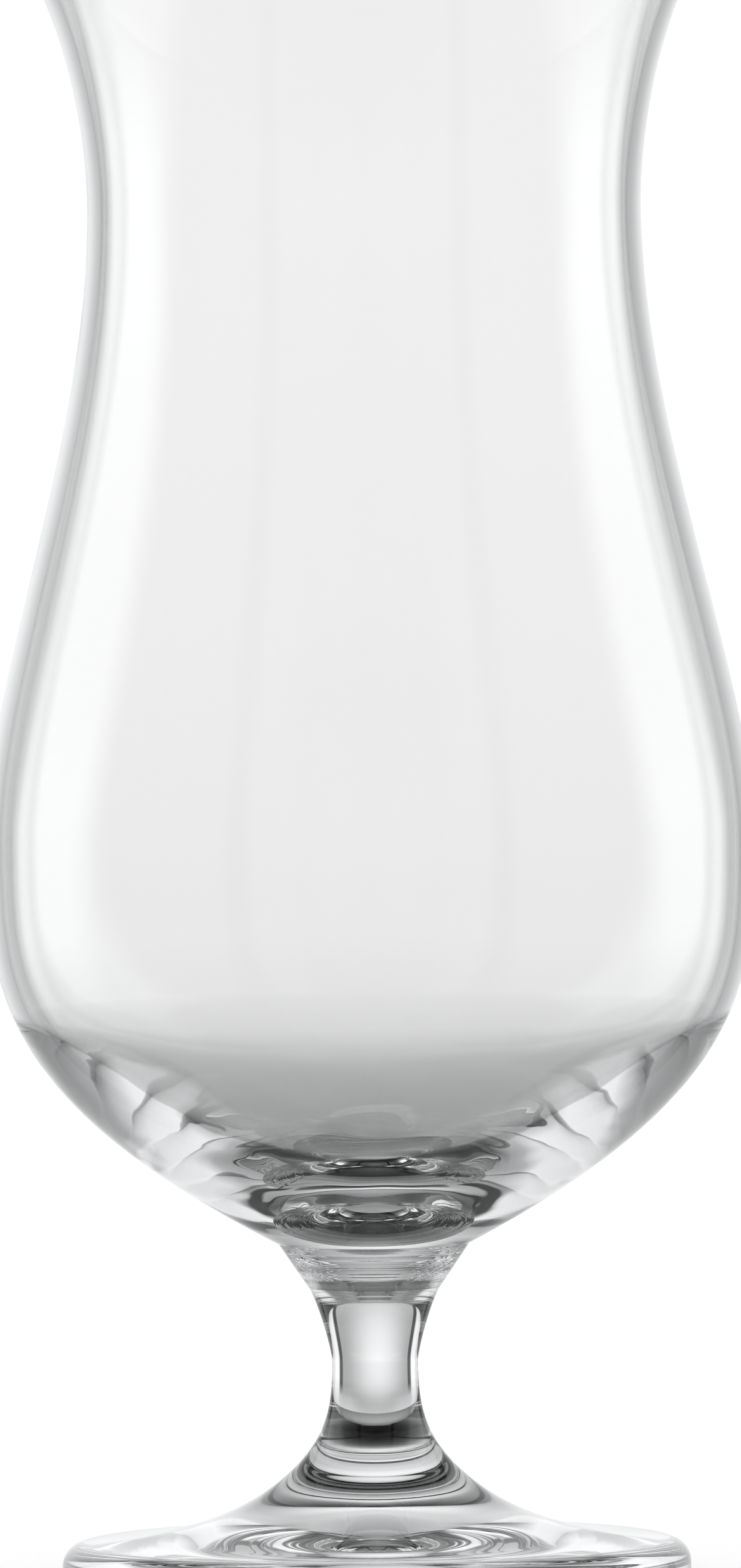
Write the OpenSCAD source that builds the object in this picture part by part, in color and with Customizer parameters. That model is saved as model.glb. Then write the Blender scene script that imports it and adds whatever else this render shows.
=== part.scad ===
// Hurricane glass: a blown bowl with a belly, a waist and a flared rim,
// fused to a short collar, a drawn stem and a round foot.
// Every piece is a solid of revolution about the Z axis, and the table is at Z = 0.

/* [Bowl] */
// Height of the bowl above the collar
bowl_height = 146.1; // [135:0.1:160]
// Outside diameter at the belly, the widest place
belly_diameter = 82; // [76:0.5:90]
// Height of the belly above the collar
belly_height = 43.1; // [40:0.1:47]
// Outside diameter at the waist
waist_diameter = 59; // [54:0.5:66]
// Height of the waist above the collar
waist_height = 110.9; // [104:0.1:116]
// Outside diameter of the rim
rim_diameter = 82; // [76:0.5:90]
// Angle between the flared rim and the vertical, degrees
rim_flare = 39; // [30:1:42]
// Rise of the bowl's outside from the collar, degrees above the horizontal
shoulder_rise = 27.7; // [25:0.1:32]
// Glass thickness of the bowl's side
wall = 1.5; // [1.2:0.1:2.2]
// Glass thickness at the rim
rim_wall = 1.4; // [1:0.1:2]
// Solid glass under the bowl's inside, at the axis
floor_thickness = 5.2; // [4:0.1:7]

/* [Collar] */
// Diameter of the collar where it meets the bowl
collar_diameter = 20.4; // [18:0.2:24]
// Height of the collar
collar_height = 4.7; // [3.5:0.1:6]

/* [Stem] */
// Height of the stem between the foot and the collar
stem_height = 16.5; // [14:0.1:30]
// Diameter at the stem's thinnest place
stem_diameter = 9.2; // [8:0.1:10.5]
// Height of the thinnest place above the foot
stem_waist_height = 8.7; // [7:0.1:10]
// Diameter where the stem meets the collar
stem_top_diameter = 14; // [12.5:0.1:16]
// Diameter where the stem meets the foot
stem_bottom_diameter = 13; // [12:0.1:15]

/* [Foot] */
// Outside diameter of the foot
foot_diameter = 67.2; // [60:0.2:74]
// Height of the foot where it meets the stem
foot_height = 14.7; // [12:0.1:18]
// Thickness of the foot at its edge
foot_edge = 4.1; // [3:0.1:5]
// Depth of the hollow in the foot's underside
foot_hollow = 1.8; // [1:0.1:2.6]
// Inner diameter of the ring that rests on the table
rest_ring_diameter = 44; // [38:0.5:54]

/* [Hidden] */

// Fineness of the round surfaces, and steps along each curve and corner of an outline
roundness = 120;
curve_steps = 20;
corner_steps = 8;

belly_r = belly_diameter / 2;
waist_r = waist_diameter / 2;
rim_r = rim_diameter / 2;
collar_r = collar_diameter / 2;
stem_r = stem_diameter / 2;
stem_top_r = stem_top_diameter / 2;
stem_bottom_r = stem_bottom_diameter / 2;
foot_r = foot_diameter / 2;
rest_ring_r = rest_ring_diameter / 2;

// Heights above the table
stem_waist_z = foot_height + stem_waist_height;
stem_top_z = foot_height + stem_height;
bowl_z = stem_top_z + collar_height;
floor_z = bowl_z + floor_thickness;
belly_z = bowl_z + belly_height;
waist_z = bowl_z + waist_height;
rim_z = bowl_z + bowl_height;

// Reach of each curve's handles, as a share of the length that it spans
shoulder_share = 0.84;
belly_down_share = 0.343;
belly_up_share = 0.258;
waist_down_share = 0.368;
waist_up_share = 0.12;
rim_down_share = 0.475;
floor_side_share = 0.34;
floor_flat_share = 0.48;
stem_bottom_share = 0.35;
stem_waist_down_share = 0.42;
stem_waist_up_share = 0.13;
stem_top_share = 0.25;
foot_top_share = 0.22;
foot_face_share = 0.7;
hollow_flat_share = 0.16;
hollow_side_share = 0.78;

// Place on the shoulder curve, as a share of it, below which the inside leaves the outside
floor_start_share = 0.56;

// Angle between the stem's outline and the vertical, at its two ends
stem_bottom_lean = 31;
stem_top_lean = 32;
// Rise of the foot's upper face at its edge
foot_face_rise = 1.2;
// Corner radii of the foot's edge, as shares of its thickness
foot_top_corner_share = 0.6;
foot_low_corner_share = 0.22;

// A cubic curve through four control points, its direction, and a point beside it
function bend(p, t) =
    pow(1 - t, 3) * p[0] + 3 * pow(1 - t, 2) * t * p[1] + 3 * (1 - t) * t * t * p[2] + pow(t, 3) * p[3];
function bend_way(p, t) =
    pow(1 - t, 2) * (p[1] - p[0]) + 2 * (1 - t) * t * (p[2] - p[1]) + t * t * (p[3] - p[2]);
function beside(p, t, distance) =
    let (way = bend_way(p, t)) bend(p, t) + distance * [-way[1], way[0]] / norm(way);

// All the points of a curve from its start to its end, or beside it, back from its end to a share of it
function along(p) = [for (i = [0:curve_steps]) bend(p, i / curve_steps)];
function back_beside(p, start_wall, end_wall, last_share = 0) = [
    for (i = [curve_steps:-1:0])
        let (t = last_share + (1 - last_share) * i / curve_steps)
            beside(p, t, start_wall + (end_wall - start_wall) * t)
];
function without_first(points) = [for (i = [1:len(points) - 1]) points[i]];

// A step at an angle to the vertical, and the points of a round corner
function toward(angle, reach) = reach * [sin(angle), cos(angle)];
function corner(centre, radius, from, to) = [
    for (i = [0:corner_steps])
        let (turn = from + (to - from) * i / corner_steps) centre + radius * [cos(turn), sin(turn)]
];

// The lip is half a round of the rim's thickness, and the flare ends where it starts
lip_r = rim_wall / 2;
lip_centre = [rim_r - lip_r, rim_z - lip_r];
lip_start = lip_centre + lip_r * [cos(rim_flare), -sin(rim_flare)];

// The outside of the bowl, from the collar up
shoulder_curve = [
    [collar_r, bowl_z],
    [collar_r, bowl_z] + toward(90 - shoulder_rise, shoulder_share * belly_r),
    [belly_r, belly_z - belly_down_share * belly_height],
    [belly_r, belly_z]
];
flank_curve = [
    [belly_r, belly_z],
    [belly_r, belly_z + belly_up_share * (waist_z - belly_z)],
    [waist_r, waist_z - waist_down_share * (waist_z - belly_z)],
    [waist_r, waist_z]
];
flare_curve = [
    [waist_r, waist_z],
    [waist_r, waist_z + waist_up_share * (rim_z - waist_z)],
    lip_start - toward(rim_flare, rim_down_share * (rim_z - waist_z)),
    lip_start
];
// The floor of the bowl, from where the inside leaves the outside down to the axis
floor_start = beside(shoulder_curve, floor_start_share, wall);
floor_way = bend_way(shoulder_curve, floor_start_share);
floor_curve = [
    floor_start,
    floor_start - floor_side_share * (floor_start[1] - floor_z) * floor_way / norm(floor_way),
    [floor_flat_share * floor_start[0], floor_z],
    [0, floor_z]
];

module bowl() {
    color([0.9, 0.93, 0.94])
        rotate_extrude($fn = roundness)
            polygon(concat(
                [[0, bowl_z]],
                along(shoulder_curve),
                without_first(along(flank_curve)),
                without_first(along(flare_curve)),
                without_first(corner(lip_centre, lip_r, -rim_flare, 180 - rim_flare)),
                without_first(back_beside(flare_curve, wall, rim_wall)),
                without_first(back_beside(flank_curve, wall, wall)),
                without_first(back_beside(shoulder_curve, wall, wall, floor_start_share)),
                without_first(along(floor_curve))
            ));
}

module collar() {
    color([0.84, 0.88, 0.9])
        rotate_extrude($fn = roundness)
            polygon([
                [0, stem_top_z],
                [stem_top_r, stem_top_z],
                [collar_r, bowl_z],
                [0, bowl_z]
            ]);
}

module stem() {
    waist_to_top = stem_height - stem_waist_height;
    lower = [
        [stem_bottom_r, foot_height],
        [stem_bottom_r, foot_height] + toward(-stem_bottom_lean, stem_bottom_share * stem_waist_height),
        [stem_r, stem_waist_z - stem_waist_down_share * stem_waist_height],
        [stem_r, stem_waist_z]
    ];
    upper = [
        [stem_r, stem_waist_z],
        [stem_r, stem_waist_z + stem_waist_up_share * waist_to_top],
        [stem_top_r, stem_top_z] - toward(stem_top_lean, stem_top_share * waist_to_top),
        [stem_top_r, stem_top_z]
    ];
    color([0.88, 0.91, 0.93])
        rotate_extrude($fn = roundness)
            polygon(concat(
                [[0, foot_height]],
                along(lower),
                without_first(along(upper)),
                [[0, stem_top_z]]
            ));
}

module foot() {
    top_corner_r = foot_edge * foot_top_corner_share;
    low_corner_r = foot_edge * foot_low_corner_share;
    top_corner = [foot_r - top_corner_r, foot_edge - top_corner_r];
    low_corner = [foot_r - low_corner_r, low_corner_r];
    face_start = top_corner + toward(foot_face_rise, top_corner_r);
    face_width = face_start[0] - stem_bottom_r;
    underside = [
        [0, foot_hollow],
        [hollow_flat_share * rest_ring_r, foot_hollow],
        [hollow_side_share * rest_ring_r, 0],
        [rest_ring_r, 0]
    ];
    upper_face = [
        face_start,
        face_start + toward(foot_face_rise - 90, foot_face_share * face_width),
        [stem_bottom_r, foot_height] - toward(-stem_bottom_lean, foot_top_share * (foot_height - foot_edge)),
        [stem_bottom_r, foot_height]
    ];
    color([0.86, 0.9, 0.92])
        rotate_extrude($fn = roundness)
            polygon(concat(
                along(underside),
                corner(low_corner, low_corner_r, -90, 0),
                corner(top_corner, top_corner_r, 0, 90 - foot_face_rise),
                without_first(along(upper_face)),
                [[0, foot_height]]
            ));
}

bowl();
collar();
stem();
foot();
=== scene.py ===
import math
from types import SimpleNamespace

import bmesh
import bpy
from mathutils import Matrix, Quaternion, Vector


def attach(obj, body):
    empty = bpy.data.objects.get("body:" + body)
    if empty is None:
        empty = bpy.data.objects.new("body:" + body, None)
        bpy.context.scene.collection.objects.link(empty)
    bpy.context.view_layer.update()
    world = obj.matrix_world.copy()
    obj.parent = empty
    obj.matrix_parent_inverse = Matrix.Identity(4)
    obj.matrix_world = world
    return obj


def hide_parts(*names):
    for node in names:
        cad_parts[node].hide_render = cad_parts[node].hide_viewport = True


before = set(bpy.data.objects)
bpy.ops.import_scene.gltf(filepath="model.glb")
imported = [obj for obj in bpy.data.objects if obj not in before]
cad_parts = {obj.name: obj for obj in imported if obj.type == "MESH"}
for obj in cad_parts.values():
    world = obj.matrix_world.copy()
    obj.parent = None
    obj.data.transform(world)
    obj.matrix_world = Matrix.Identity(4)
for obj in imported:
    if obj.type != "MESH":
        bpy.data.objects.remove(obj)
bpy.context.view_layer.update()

MM = 0.001

# Sizes of the glass
# They are the same as the solids' sizes, in millimetres and degrees.
BOWL_HEIGHT = 146.1
BELLY_R = 41.0
BELLY_HEIGHT = 43.1
WAIST_R = 29.5
WAIST_HEIGHT = 110.9
RIM_R = 41.0
RIM_FLARE = 39.0
SHOULDER_RISE = 27.7
WALL = 1.5
RIM_WALL = 1.4
FLOOR_THICKNESS = 5.2
COLLAR_R = 10.2
COLLAR_HEIGHT = 4.7
STEM_HEIGHT = 16.5
STEM_R = 4.6
STEM_WAIST_HEIGHT = 8.7
STEM_TOP_R = 7.0
STEM_BOTTOM_R = 6.5
FOOT_R = 33.6
FOOT_HEIGHT = 14.7
FOOT_EDGE = 4.1
FOOT_HOLLOW = 1.8
REST_RING_R = 22.0
STEM_BOTTOM_LEAN = 31.0
STEM_TOP_LEAN = 32.0
FOOT_FACE_RISE = 1.2

# Heights above the table
STEM_WAIST_Z = FOOT_HEIGHT + STEM_WAIST_HEIGHT
STEM_TOP_Z = FOOT_HEIGHT + STEM_HEIGHT
BOWL_Z = STEM_TOP_Z + COLLAR_HEIGHT
FLOOR_Z = BOWL_Z + FLOOR_THICKNESS
BELLY_Z = BOWL_Z + BELLY_HEIGHT
WAIST_Z = BOWL_Z + WAIST_HEIGHT
RIM_Z = BOWL_Z + BOWL_HEIGHT

# Reach of each curve's handles, as a share of the length that it spans
SHOULDER_SHARE = 0.84
BELLY_DOWN_SHARE = 0.343
BELLY_UP_SHARE = 0.258
WAIST_DOWN_SHARE = 0.368
WAIST_UP_SHARE = 0.12
RIM_DOWN_SHARE = 0.475
FLOOR_SIDE_SHARE = 0.34
FLOOR_FLAT_SHARE = 0.48
STEM_BOTTOM_SHARE = 0.35
STEM_WAIST_DOWN_SHARE = 0.42
STEM_WAIST_UP_SHARE = 0.13
STEM_TOP_SHARE = 0.25
FOOT_TOP_SHARE = 0.22
FOOT_FACE_SHARE = 0.7
HOLLOW_FLAT_SHARE = 0.16
HOLLOW_SIDE_SHARE = 0.78

# Place on the shoulder curve below which the inside leaves the outside, and the foot's corner radii
FLOOR_START_SHARE = 0.56
FOOT_TOP_CORNER_SHARE = 0.6
FOOT_LOW_CORNER_SHARE = 0.22

# Fineness of the meshes
CURVE_STEPS = 48
STEM_STEPS = 40
HOLLOW_STEPS = 40
COLLAR_STEPS = 8
CORNER_STEPS = 12
SEGMENTS = 256
SHARP_ANGLE = 20
# A radius in millimetres that counts as the axis itself
ON_AXIS = 1e-6


# Outlines
def point(r, z):
    return Vector((r, z))


def toward(angle, reach):
    """A step at an angle to the vertical."""
    a = math.radians(angle)
    return point(reach * math.sin(a), reach * math.cos(a))


def bend(p, t):
    """The point at a share of a cubic curve through four control points."""
    s = 1 - t
    return s**3 * p[0] + 3 * s * s * t * p[1] + 3 * s * t * t * p[2] + t**3 * p[3]


def bend_way(p, t):
    s = 1 - t
    return s * s * (p[1] - p[0]) + 2 * s * t * (p[2] - p[1]) + t * t * (p[3] - p[2])


def beside(p, t, distance):
    way = bend_way(p, t).normalized()
    return bend(p, t) + distance * point(-way.y, way.x)


def along(p, steps=CURVE_STEPS):
    return [bend(p, i / steps) for i in range(steps + 1)]


def back_beside(p, start_wall, end_wall):
    """The points beside a curve, from its end back to its start."""
    return [
        beside(p, i / CURVE_STEPS, start_wall + (end_wall - start_wall) * i / CURVE_STEPS)
        for i in range(CURVE_STEPS, -1, -1)
    ]


def corner(centre, radius, start, end):
    out = []
    for i in range(CORNER_STEPS + 1):
        a = math.radians(start + (end - start) * i / CORNER_STEPS)
        out.append(centre + radius * point(math.cos(a), math.sin(a)))
    return out


def bowl_outline():
    lip_r = RIM_WALL / 2
    lip_centre = point(RIM_R - lip_r, RIM_Z - lip_r)
    flare = math.radians(RIM_FLARE)
    lip_start = lip_centre + lip_r * point(math.cos(flare), -math.sin(flare))
    shoulder = [
        point(COLLAR_R, BOWL_Z),
        point(COLLAR_R, BOWL_Z) + toward(90 - SHOULDER_RISE, SHOULDER_SHARE * BELLY_R),
        point(BELLY_R, BELLY_Z - BELLY_DOWN_SHARE * BELLY_HEIGHT),
        point(BELLY_R, BELLY_Z),
    ]
    flank = [
        point(BELLY_R, BELLY_Z),
        point(BELLY_R, BELLY_Z + BELLY_UP_SHARE * (WAIST_Z - BELLY_Z)),
        point(WAIST_R, WAIST_Z - WAIST_DOWN_SHARE * (WAIST_Z - BELLY_Z)),
        point(WAIST_R, WAIST_Z),
    ]
    flared = [
        point(WAIST_R, WAIST_Z),
        point(WAIST_R, WAIST_Z + WAIST_UP_SHARE * (RIM_Z - WAIST_Z)),
        lip_start - toward(RIM_FLARE, RIM_DOWN_SHARE * (RIM_Z - WAIST_Z)),
        lip_start,
    ]
    side_steps = round(CURVE_STEPS * (1 - FLOOR_START_SHARE))
    side = [
        beside(shoulder, 1 - (1 - FLOOR_START_SHARE) * i / side_steps, WALL)
        for i in range(side_steps + 1)
    ]
    way = bend_way(shoulder, FLOOR_START_SHARE).normalized()
    start = side[-1]
    floor = [
        start,
        start - FLOOR_SIDE_SHARE * (start.y - FLOOR_Z) * way,
        point(FLOOR_FLAT_SHARE * start.x, FLOOR_Z),
        point(0, FLOOR_Z),
    ]
    return (
        along(shoulder)
        + along(flank)[1:]
        + along(flared)[1:]
        + corner(lip_centre, lip_r, -RIM_FLARE, 180 - RIM_FLARE)[1:]
        + back_beside(flared, WALL, RIM_WALL)[1:]
        + back_beside(flank, WALL, WALL)[1:]
        + side[1:]
        + along(floor)[1:]
    )


def collar_outline():
    bottom = point(STEM_TOP_R, STEM_TOP_Z)
    top = point(COLLAR_R, BOWL_Z)
    return [bottom.lerp(top, i / COLLAR_STEPS) for i in range(COLLAR_STEPS + 1)]


def stem_outline():
    up = STEM_HEIGHT - STEM_WAIST_HEIGHT
    bottom = point(STEM_BOTTOM_R, FOOT_HEIGHT)
    top = point(STEM_TOP_R, STEM_TOP_Z)
    lower = [
        bottom,
        bottom + toward(-STEM_BOTTOM_LEAN, STEM_BOTTOM_SHARE * STEM_WAIST_HEIGHT),
        point(STEM_R, STEM_WAIST_Z - STEM_WAIST_DOWN_SHARE * STEM_WAIST_HEIGHT),
        point(STEM_R, STEM_WAIST_Z),
    ]
    upper = [
        point(STEM_R, STEM_WAIST_Z),
        point(STEM_R, STEM_WAIST_Z + STEM_WAIST_UP_SHARE * up),
        top - toward(STEM_TOP_LEAN, STEM_TOP_SHARE * up),
        top,
    ]
    return along(lower, STEM_STEPS) + along(upper, STEM_STEPS)[1:]


def foot_outline():
    top_corner_r = FOOT_TOP_CORNER_SHARE * FOOT_EDGE
    low_corner_r = FOOT_LOW_CORNER_SHARE * FOOT_EDGE
    top_corner = point(FOOT_R - top_corner_r, FOOT_EDGE - top_corner_r)
    low_corner = point(FOOT_R - low_corner_r, low_corner_r)
    face_start = top_corner + toward(FOOT_FACE_RISE, top_corner_r)
    face_width = face_start.x - STEM_BOTTOM_R
    bottom = point(STEM_BOTTOM_R, FOOT_HEIGHT)
    underside = [
        point(0, FOOT_HOLLOW),
        point(HOLLOW_FLAT_SHARE * REST_RING_R, FOOT_HOLLOW),
        point(HOLLOW_SIDE_SHARE * REST_RING_R, 0),
        point(REST_RING_R, 0),
    ]
    upper_face = [
        face_start,
        face_start + toward(FOOT_FACE_RISE - 90, FOOT_FACE_SHARE * face_width),
        bottom - toward(-STEM_BOTTOM_LEAN, FOOT_TOP_SHARE * (FOOT_HEIGHT - FOOT_EDGE)),
        bottom,
    ]
    return (
        along(underside, HOLLOW_STEPS)
        + corner(low_corner, low_corner_r, -90, 0)
        + corner(top_corner, top_corner_r, 0, 90 - FOOT_FACE_RISE)
        + along(upper_face)[1:]
    )


# Meshes
def add_object(name, mesh):
    made = bpy.data.objects.new(name, mesh)
    bpy.context.scene.collection.objects.link(made)
    return made


def lathe(name, outline, closed=True):
    """A solid of revolution, whose flat ends are joint faces, or the bare surface if it isn't closed."""
    bm = bmesh.new()
    rings = []
    for p in outline:
        if p.x < ON_AXIS:
            rings.append([bm.verts.new((0, 0, p.y * MM))])
            continue
        ring = []
        for k in range(SEGMENTS):
            a = 2 * math.pi * k / SEGMENTS
            ring.append(bm.verts.new((p.x * MM * math.cos(a), p.x * MM * math.sin(a), p.y * MM)))
        rings.append(ring)
    for low, high in zip(rings, rings[1:]):
        for k in range(SEGMENTS):
            n = (k + 1) % SEGMENTS
            if len(low) == 1:
                bm.faces.new((low[0], high[n], high[k]))
            elif len(high) == 1:
                bm.faces.new((low[k], low[n], high[0]))
            else:
                bm.faces.new((low[k], low[n], high[n], high[k]))
    ends = [(rings[0], outline[0].y), (rings[-1], outline[-1].y)]
    for ring, z in ends if closed else []:
        if len(ring) > 1:
            centre = bm.verts.new((0, 0, z * MM))
            for k in range(SEGMENTS):
                face = bm.faces.new((ring[(k + 1) % SEGMENTS], centre, ring[k]))
                face.material_index = 1
    bmesh.ops.recalc_face_normals(bm, faces=bm.faces)
    mesh = bpy.data.meshes.new(name)
    bm.to_mesh(mesh)
    bm.free()
    for face in mesh.polygons:
        face.use_smooth = True
    mesh.set_sharp_from_angle(angle=math.radians(SHARP_ANGLE))
    return add_object(name, mesh)


# Shader nodes
def node(tree, kind, *inputs, **settings):
    """A shader node with its settings and, in order, its inputs: numbers, colours or sockets."""
    made = tree.nodes.new("ShaderNode" + kind)
    for name, value in settings.items():
        setattr(made, name, value)
    for socket, value in zip(made.inputs, inputs):
        if isinstance(value, bpy.types.NodeSocket):
            tree.links.new(value, socket)
        elif value is not None:
            socket.default_value = value
    return made


def calc(tree, operation, *inputs):
    return node(tree, "Math", *inputs, operation=operation).outputs[0]


def times(tree, first, second):
    return calc(tree, "MULTIPLY", first, second)


def remainder(tree, share):
    """What a share leaves of 1."""
    return calc(tree, "SUBTRACT", 1, share)


def choose(tree, test, yes, no):
    """yes where the test is 1, no where it is 0."""
    mix = node(tree, "Mix", test, data_type="FLOAT")
    for socket, value in ((mix.inputs["A"], no), (mix.inputs["B"], yes)):
        if isinstance(value, bpy.types.NodeSocket):
            tree.links.new(value, socket)
        else:
            socket.default_value = value
    return mix.outputs["Result"]


def levels(tree, value, stops):
    """The level at a value, drawn straight between (value, level) stops."""
    low, high = stops[0][0], stops[-1][0]
    ramp = tree.nodes.new("ShaderNodeValToRGB")
    along_ramp = calc(tree, "DIVIDE", calc(tree, "SUBTRACT", value, low), high - low)
    tree.links.new(along_ramp, ramp.inputs[0])
    points = ramp.color_ramp.elements
    while len(points) < len(stops):
        points.new(1)
    for k, (at, level) in enumerate(stops):
        points[k].position = (at - low) / (high - low)
        points[k].color = (level, level, level, 1)
    return times(tree, ramp.outputs["Color"], 1)


def noise(tree, value, scale, detail, dimensions="3D"):
    made = node(tree, "TexNoise", noise_dimensions=dimensions)
    tree.links.new(value, made.inputs["W" if dimensions == "1D" else "Vector"])
    made.inputs["Scale"].default_value = scale
    made.inputs["Detail"].default_value = detail
    return made.outputs["Fac"]


def new_tree(name):
    """A material with nothing in its node tree yet, and that tree."""
    material = bpy.data.materials.new(name)
    material.use_nodes = True
    material.node_tree.nodes.clear()
    return material, material.node_tree


# Glass
IOR = 1.52
# How many waves, rings and ripples there are to a metre, and how fine the rings' detail is
WAVE_SCALE = 45
WAVE_DETAIL = 1
RING_SCALE = 1300
RING_DETAIL = 2
RIPPLE_SCALE = 160
# Their depth in metres
BOWL_WAVE = 0.00002
COLLAR_WAVE = 0.00001
STEM_WAVE = 0.00001
FOOT_WAVE = 0.00002
COLLAR_RING = 0.00006
BOWL_RIPPLE = 0.00006
# Painted shade: darker streaks in the glass's colour that go with the rings, by the rings' noise
PAINTED_SHADE_STREAKS = ((0, 0.4), (0.4, 0.5), (0.6, 0.8), (1, 1))
# The share of the ripples by the height in metres
RIPPLE_HEIGHTS = ((0.03, 1), (0.045, 1), (0.06, 0), (0.2, 0))


def glass_material(name, wave, ring, ripple):
    """Clear glass with faint waves, rings around its axis and ripples low in a bowl, by their depths. With
    rings, its colour darkens in streaks, which paints shade.
    """
    material = bpy.data.materials.new(name)
    material.use_nodes = True
    tree = material.node_tree
    glass = tree.nodes["Principled BSDF"]
    glass.inputs["Base Color"].default_value = (1, 1, 1, 1)
    glass.inputs["Transmission Weight"].default_value = 1
    glass.inputs["Roughness"].default_value = 0
    glass.inputs["IOR"].default_value = IOR
    place = node(tree, "TexCoord").outputs["Object"]
    height = node(tree, "SeparateXYZ", place).outputs["Z"]
    surface = times(tree, noise(tree, place, WAVE_SCALE, WAVE_DETAIL), wave)
    if ring:
        rings = noise(tree, height, RING_SCALE, RING_DETAIL, "1D")
        surface = calc(tree, "ADD", surface, times(tree, rings, ring))
        # Painted shade: the rings darken the glass's colour in streaks
        tree.links.new(levels(tree, rings, PAINTED_SHADE_STREAKS), glass.inputs["Base Color"])
    if ripple:
        bumps = times(tree, noise(tree, place, RIPPLE_SCALE, 0), levels(tree, height, RIPPLE_HEIGHTS))
        surface = calc(tree, "ADD", surface, times(tree, bumps, ripple))
    bump = node(tree, "Bump")
    bump.inputs["Strength"].default_value = 1
    bump.inputs["Distance"].default_value = 1
    tree.links.new(surface, bump.inputs["Height"])
    tree.links.new(bump.outputs["Normal"], glass.inputs["Normal"])
    return material


def weld_material():
    """Inside a joint the glass runs on unbroken, so its flat faces bend no light."""
    material, tree = new_tree("weld")
    node(tree, "OutputMaterial", node(tree, "BsdfTransparent").outputs[0])
    return material


weld = weld_material()
for name, outline, wave, ring, ripple in (
    ("bowl", bowl_outline(), BOWL_WAVE, 0, BOWL_RIPPLE),
    ("collar", collar_outline(), COLLAR_WAVE, COLLAR_RING, 0),
    ("stem", stem_outline(), STEM_WAVE, 0, 0),
    ("foot", foot_outline(), FOOT_WAVE, 0, 0),
):
    piece = lathe(name + "_glass", outline)
    piece.data.materials.append(glass_material(name + "_glass", wave, ring, ripple))
    piece.data.materials.append(weld)
    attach(piece, "root")
    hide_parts(name)


# Kinds of light
# They go by two counts: the surfaces that a ray has crossed, and the times it was thrown back by one.
THROUGH_LEAST = 3
THROUGH_MOST = 4
SOLID_MOST = 2
CROSSED_LEAST = 4
DEEP_LEAST = 2
LOST_LEAST = 3
TURNED_LEAST = 7
# How much less red, green and blue there is in bent light than in straight light
COOLNESS = (0.022, 0.007, 0)


def at_least(tree, count, least):
    return calc(tree, "GREATER_THAN", count, least - 0.5)


def at_most(tree, count, most):
    return calc(tree, "LESS_THAN", count, most + 0.5)


def ray_tests(tree):
    """What happened to a ray, each as 1 or 0.

    bent: it went through glass or off it. straight: it was never thrown back. deep: it was thrown back
    more than once. through: straight, through two walls or pieces. solid: straight, through one wall or
    piece. crossed: through two or more. turned: led on inside one piece by many turns. lost: crossed,
    and thrown back several times.
    """
    path = node(tree, "LightPath").outputs
    crossings, turns = path["Transmission Depth"], path["Glossy Depth"]
    straight = at_most(tree, turns, 0)
    crossed = at_least(tree, crossings, CROSSED_LEAST)
    enough = at_least(tree, crossings, THROUGH_LEAST)
    two_walls = times(tree, enough, at_most(tree, crossings, THROUGH_MOST))
    return SimpleNamespace(
        bent=calc(tree, "MAXIMUM", path["Is Transmission Ray"], path["Is Glossy Ray"]),
        straight=straight,
        deep=at_least(tree, turns, DEEP_LEAST),
        through=times(tree, straight, two_walls),
        solid=times(tree, straight, at_most(tree, crossings, SOLID_MOST)),
        turned=times(tree, at_least(tree, turns, TURNED_LEAST), remainder(tree, crossed)),
        crossed=crossed,
        lost=times(tree, crossed, at_least(tree, turns, LOST_LEAST)),
    )


def cooled(tree, share):
    """The colour of white light, a share of it bent."""
    less = node(tree, "VectorMath", COOLNESS, None, None, share, operation="SCALE").outputs[0]
    return node(tree, "VectorMath", (1, 1, 1), less, operation="SUBTRACT").outputs[0]


# Studio
# The camera sees plain white. Light that has been through the glass or off it sees a bright place
# behind the glass and again in front of it, dark gaps beside them, and a panel on each side, which
# draw the lines in thick glass. Every table has stops of (degrees, level).

# Direction of the bright place's middle, and its level by the angle from there
BRIGHT_WAY = (-0.052, 0.996, 0.07)
BRIGHT_SPREAD = (
    (0, 1.05), (5, 1), (10, 0.93), (15, 0.82), (20, 0.7), (25, 0.59), (30, 0.5), (36, 0.45), (90, 0.42),
)
# The gaps, by the angle aside from the front or the back
GAPS = ((0, 1), (37, 1), (39, 0.15), (44, 0.15), (46, 1), (90, 1))
# Shares by elevation: for all light, for light through one wall or piece, and across many walls
HEIGHTS = (
    (-90, 0.01), (-70, 0.02), (-60, 0.05), (-50, 0.12), (-40, 0.3), (-30, 0.6), (-20, 0.9), (-12, 1),
    (20, 1), (30, 1.3), (40, 1.2), (50, 1), (60, 0.8), (70, 0.55), (90, 0.6),
)
SOLID_HEIGHTS = (
    (-90, 2), (-60, 1.6), (-45, 1.1), (-30, 0.7), (-18, 0.7), (-8, 1), (20, 1), (35, 1.4), (60, 1.1),
    (90, 2),
)
CROSSED_HEIGHTS = ((-90, 0.1), (-33, 0.1), (-24, 1), (90, 1))
# Light through one wall or piece sees an even grey low down to the sides, and pale further down
LOW = ((-90, 1), (-16, 1), (-10, 0), (90, 0))
ASIDE = ((0, 0), (10, 0), (25, 1), (90, 1))
LOW_LEVEL = 0.53
STEEP = ((-90, 1), (-40, 1), (-14, 0), (90, 0))
STEEP_LEVEL = 0.9
# What is left for light that turned back once, or more often, by the angle from straight behind the
# glass, and by elevation where nothing is lost overhead
TURNED_BACK = ((0, 1), (80, 1), (88, 0.6), (100, 0.6), (126, 0.45), (180, 0.15))
TURNED_BACK_DEEP = ((0, 1), (80, 1), (90, 0.3), (105, 0.16), (180, 0.16))
OVERHEAD = ((-90, 0), (50, 0), (65, 1), (90, 1))
LOST_LEVEL = 0.05
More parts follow.
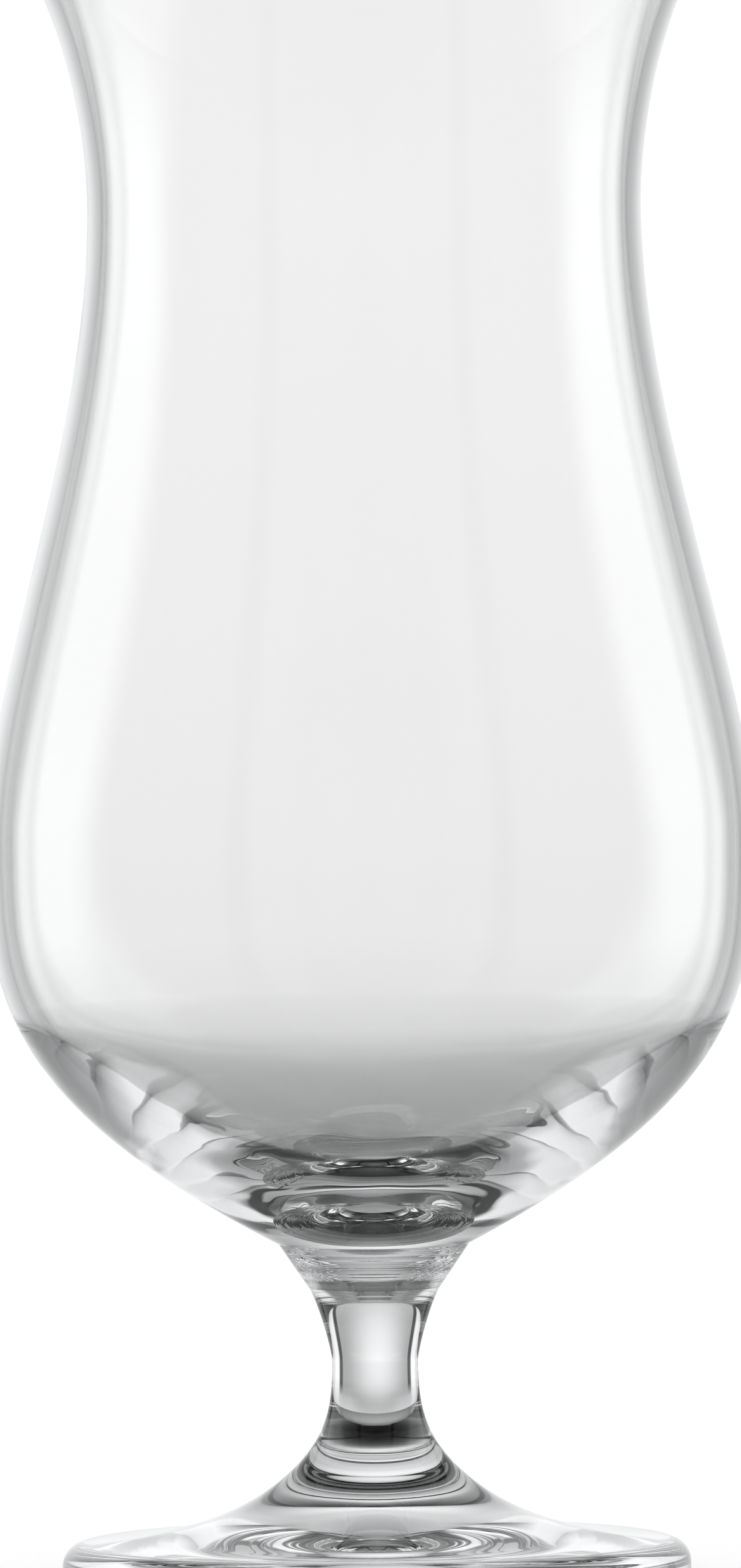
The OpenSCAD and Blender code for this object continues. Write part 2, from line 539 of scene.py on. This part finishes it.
# The panels, for light that turned back and for straight light. They lean back as they rise.
PANELS = ((0, 0), (44, 0), (48, 1), (76, 1), (88, 0.1), (100, 0), (180, 0))
PANELS_STRAIGHT = ((0, 0), (44, 0), (48, 1), (90, 1))
PANEL_HEIGHTS = ((-90, 0), (-30, 0), (-8, 1), (44, 1), (50, 0), (90, 0))
PANEL_LEVEL = 1.1
PANEL_LEAN = 0.4
# Light led on by many turns
TURNED = (
    (0, 0.45), (20, 0.3), (27, 0.2), (36, 0.12), (45, 0.42), (53, 0.55), (61, 1.05), (76, 1.05), (82, 0.75),
    (88, 0.5), (97, 0.38), (125, 0.2), (180, 0.1),
)
TURNED_HEIGHTS = ((-90, 0.1), (-45, 0.4), (-20, 1), (90, 1))


def room_angles(tree):
    """The direction of a ray in the room, in degrees.

    It is measured above the floor, around from straight behind the glass, aside from the front or the
    back, and away from the bright place.
    """
    x, y, z = node(tree, "SeparateXYZ", node(tree, "TexCoord").outputs["Generated"]).outputs
    aside, depth = calc(tree, "ABSOLUTE", x), calc(tree, "ABSOLUTE", y)
    ahead = node(tree, "CombineXYZ", x, depth, z).outputs[0]
    near = node(tree, "VectorMath", ahead, BRIGHT_WAY, operation="DOT_PRODUCT").outputs["Value"]
    return SimpleNamespace(
        elevation=calc(tree, "DEGREES", calc(tree, "ARCSINE", z)),
        around=calc(tree, "DEGREES", calc(tree, "ARCTAN2", aside, y)),
        aside=calc(tree, "DEGREES", calc(tree, "ARCTAN2", aside, depth)),
        away=calc(tree, "DEGREES", calc(tree, "ARCCOSINE", near)),
    )


def bright_place(tree, ray, at):
    """The level of the bright place and of what lies round it."""
    spread = times(tree, levels(tree, at.away, BRIGHT_SPREAD), levels(tree, at.aside, GAPS))
    solid_height = levels(tree, at.elevation, SOLID_HEIGHTS)
    height = choose(tree, ray.solid, solid_height, levels(tree, at.elevation, HEIGHTS))
    left = choose(tree, ray.crossed, levels(tree, at.elevation, CROSSED_HEIGHTS), 1)
    level = times(tree, spread, times(tree, height, left))
    low = times(tree, levels(tree, at.elevation, LOW), levels(tree, at.aside, ASIDE))
    level = choose(tree, times(tree, ray.solid, low), LOW_LEVEL, level)
    steep = times(tree, ray.solid, levels(tree, at.elevation, STEEP))
    level = choose(tree, steep, STEEP_LEVEL, level)
    once, often = levels(tree, at.around, TURNED_BACK), levels(tree, at.around, TURNED_BACK_DEEP)
    back = choose(tree, ray.deep, often, once)
    back = calc(tree, "MAXIMUM", back, levels(tree, at.elevation, OVERHEAD))
    back = choose(tree, ray.lost, LOST_LEVEL, back)
    return times(tree, level, choose(tree, ray.straight, 1, back))


def side_panels(tree, ray, at):
    """Where the panels are, as a share of 1."""
    lean = times(tree, calc(tree, "MAXIMUM", at.elevation, 0), PANEL_LEAN)
    leaning = levels(tree, calc(tree, "SUBTRACT", at.around, lean), PANELS)
    sides = choose(tree, ray.straight, levels(tree, at.aside, PANELS_STRAIGHT), leaning)
    panels = times(tree, sides, levels(tree, at.elevation, PANEL_HEIGHTS))
    return times(tree, panels, remainder(tree, ray.lost))


def make_world():
    world = bpy.data.worlds.new("studio")
    world.use_nodes = True
    bpy.context.scene.world = world
    tree = world.node_tree
    ray, at = ray_tests(tree), room_angles(tree)
    seen = choose(tree, side_panels(tree, ray, at), PANEL_LEVEL, bright_place(tree, ray, at))
    turned = times(tree, levels(tree, at.around, TURNED), levels(tree, at.elevation, TURNED_HEIGHTS))
    seen = choose(tree, ray.turned, turned, seen)
    inside = times(tree, ray.bent, remainder(tree, ray.through))
    background = tree.nodes["Background"]
    tree.links.new(choose(tree, inside, seen, 1), background.inputs["Strength"])
    tree.links.new(cooled(tree, inside), background.inputs["Color"])


def seen_through_glass(tree, ray, level):
    """A glowing shader that shows only in light through both walls of the bowl, at this level; below 1 it
    paints shade.
    """
    shown = node(tree, "Emission", cooled(tree, remainder(tree, level)), level)
    clear = node(tree, "BsdfTransparent")
    return node(tree, "MixShader", ray.through, clear.outputs[0], shown.outputs[0]).outputs[0]


# Floor
# Its level as it shows through the bowl's walls, by the distance from the glass in metres: painted shade,
# darkest just round the foot, grey under it, and fading out further away
FLOOR_FADE = (
    (0, 0.3), (0.0335, 0.3), (0.034, 0.01), (0.045, 0.01), (0.052, 0.35), (0.066, 0.45), (0.072, 0.34),
    (0.08, 0.38), (0.097, 0.44), (0.12, 0.47), (0.16, 0.56), (0.19, 0.66), (0.25, 0.74), (0.35, 0.8),
    (0.42, 0.84), (0.55, 0.87), (0.7, 0.89), (1.2, 0.94), (2.4, 0.98), (6, 1),
)
FLOOR_RADIUS = 6
FLOOR_SEGMENTS = 96
# A gap under the foot, so that the two faces don't lie in one plane
FLOOR_DROP = 0.0002
FLOOR_GLOW = 0.6
FLOOR_PAINT = 0.45


def make_floor():
    bm = bmesh.new()
    bmesh.ops.create_circle(bm, cap_ends=True, segments=FLOOR_SEGMENTS, radius=FLOOR_RADIUS)
    mesh = bpy.data.meshes.new("floor")
    bm.to_mesh(mesh)
    bm.free()
    floor = add_object("floor", mesh)
    floor.location.z = -FLOOR_DROP
    material, tree = new_tree("floor")
    ray = ray_tests(tree)
    paint = node(tree, "BsdfDiffuse", (FLOOR_PAINT, FLOOR_PAINT, FLOOR_PAINT, 1))
    glow = node(tree, "Emission", (1, 1, 1, 1), FLOOR_GLOW)
    open_floor = node(tree, "AddShader", paint.outputs[0], glow.outputs[0]).outputs[0]
    place = node(tree, "TexCoord").outputs["Object"]
    away = node(tree, "VectorMath", place, operation="LENGTH").outputs["Value"]
    # Painted shade: through both walls, the floor glows darkest near the glass and under the foot
    bent_floor = seen_through_glass(tree, ray, levels(tree, away, FLOOR_FADE))
    both = node(tree, "MixShader", ray.bent, open_floor, bent_floor)
    node(tree, "OutputMaterial", both.outputs[0])
    floor.data.materials.append(material)


# Shade card
# A card of painted shade, darker low down. It stands round the bowl and shows only in light that has come
# through both walls. Its sizes are in millimetres, and its level is by its height in metres.
SHADE_CARD_R = 47.0
SHADE_CARD_INNER_R = 38.0
SHADE_CARD_LOW = 60.0
SHADE_CARD_HIGH = 190.0
SHADE_CARD_LEVELS = (
    (0.06, 0.895), (0.063, 0.91), (0.066, 0.935), (0.071, 0.935), (0.074, 0.942), (0.08, 0.955),
    (0.1, 0.98), (0.12, 0.995), (0.19, 1),
)


def make_shade_card():
    outline = [
        point(SHADE_CARD_INNER_R, SHADE_CARD_LOW),
        point(SHADE_CARD_R, SHADE_CARD_LOW),
        point(SHADE_CARD_R, SHADE_CARD_HIGH),
    ]
    shade_card = lathe("shade_card", outline, closed=False)
    material, tree = new_tree("shade_card")
    height = node(tree, "SeparateXYZ", node(tree, "TexCoord").outputs["Object"]).outputs["Z"]
    # Painted shade: the card glows a little below white, darkest at its low edge
    shown = seen_through_glass(tree, ray_tests(tree), levels(tree, height, SHADE_CARD_LEVELS))
    node(tree, "OutputMaterial", shown)
    shade_card.data.materials.append(material)


make_world()
make_floor()
make_shade_card()


# Camera
# The photo's size, table and axis are in its own pixels, the camera's place in millimetres.
PIXELS_PER_MM = 14.8
PHOTO_WIDTH = 1170
PHOTO_HEIGHT = 2475
TABLE_ROW = 2495
AXIS_COLUMN = 583.5
CAMERA_HEIGHT = 197.7
CAMERA_DISTANCE = 2500.0
ROLL = -0.55
SENSOR_WIDTH = 36
CLIP_START = 0.1
CLIP_END = 20


def make_camera():
    data = bpy.data.cameras.new("camera")
    camera = add_object("camera", data)
    frame_height = PHOTO_HEIGHT / PIXELS_PER_MM * MM
    middle = Vector((0, 0, (TABLE_ROW - PHOTO_HEIGHT / 2) / PIXELS_PER_MM * MM))
    place = Vector((0, -CAMERA_DISTANCE * MM, CAMERA_HEIGHT * MM))
    look = middle - place
    camera.location = place
    camera.rotation_mode = "QUATERNION"
    roll = Quaternion(Vector((0, 0, 1)), math.radians(ROLL))
    camera.rotation_quaternion = look.to_track_quat("-Z", "Y") @ roll
    data.sensor_fit = "AUTO"
    data.sensor_width = SENSOR_WIDTH
    data.lens = SENSOR_WIDTH * look.length / frame_height
    data.clip_start = CLIP_START
    data.clip_end = CLIP_END
    data.shift_x = (PHOTO_WIDTH / 2 - AXIS_COLUMN) / PHOTO_HEIGHT
    bpy.context.scene.camera = camera


make_camera()
bpy.context.scene.view_settings.view_transform = "Standard"

# Light crosses and bounces inside solid glass many times before it leaves.
GLASS_BOUNCES = 300
CLEAR_BOUNCES = 32
cycles = bpy.context.scene.cycles
cycles.max_bounces = GLASS_BOUNCES
cycles.glossy_bounces = GLASS_BOUNCES
cycles.transmission_bounces = GLASS_BOUNCES
cycles.transparent_max_bounces = CLEAR_BOUNCES
